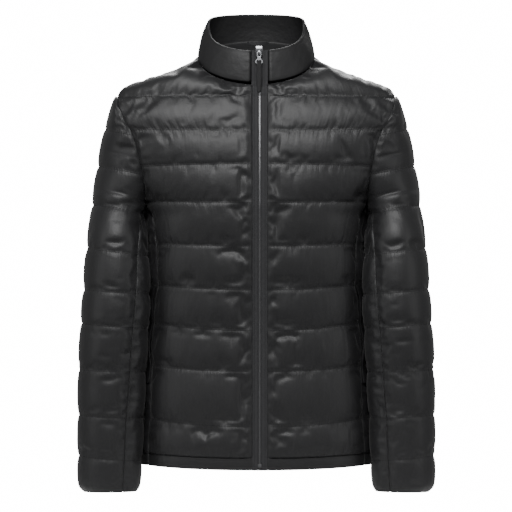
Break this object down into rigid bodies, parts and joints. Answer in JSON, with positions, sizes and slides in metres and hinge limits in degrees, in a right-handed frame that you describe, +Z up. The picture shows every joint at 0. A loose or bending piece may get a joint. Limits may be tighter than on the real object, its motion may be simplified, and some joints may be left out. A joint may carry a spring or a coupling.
{
  "type": "puffer jacket",
  "caption": "Lightweight quilted puffer jacket, filled out and zipped shut, with a stand collar, long sleeves and side-seam pockets.",
  "frame": {"origin": "on the middle plane, level with the points where the shoulder lines meet the collar, where a wearer's shoulders carry the jacket", "axes": "+Z up, -Y to the front, +X to the side that is on the right seen from the front"},
  "size_m": [0.5912, 0.2438, 0.791],
  "materials": {
    "shell": "black down-proof nylon taffeta with a soft satin sheen",
    "lining": "black matt lining",
    "tape": "black woven tape",
    "coil": "grey zip chain",
    "zip_metal": "polished dark nickel"
  },
  "bodies": {
    "jacket": {"front_left": "shell", "front_right": "shell", "back": "shell", "hem_left": "shell", "hem_right": "shell", "hem_back": "shell", "sleeve_top_left": "shell", "sleeve_top_right": "shell", "sleeve_under_left": "shell", "sleeve_under_right": "shell", "collar": "shell", "pocket_welt_left": "shell", "pocket_welt_right": "shell", "hanging_loop": "tape", "zip_tape_left": "tape", "zip_tape_right": "tape", "zip_coil": "coil", "zip_stop": "zip_metal", "zip_slider": "zip_metal"},
    "zip_pull": {"pull_tab": "zip_metal", "pull_tape": "tape"}
  },
  "joints": [
    {"name": "pull_swing", "type": "hinge", "parent": "jacket", "child": "zip_pull", "pos_m": [0.0046, -0.0745, 0.0095], "axis": [-1, 0, 0], "range_deg": [0, 150]}
  ]
}
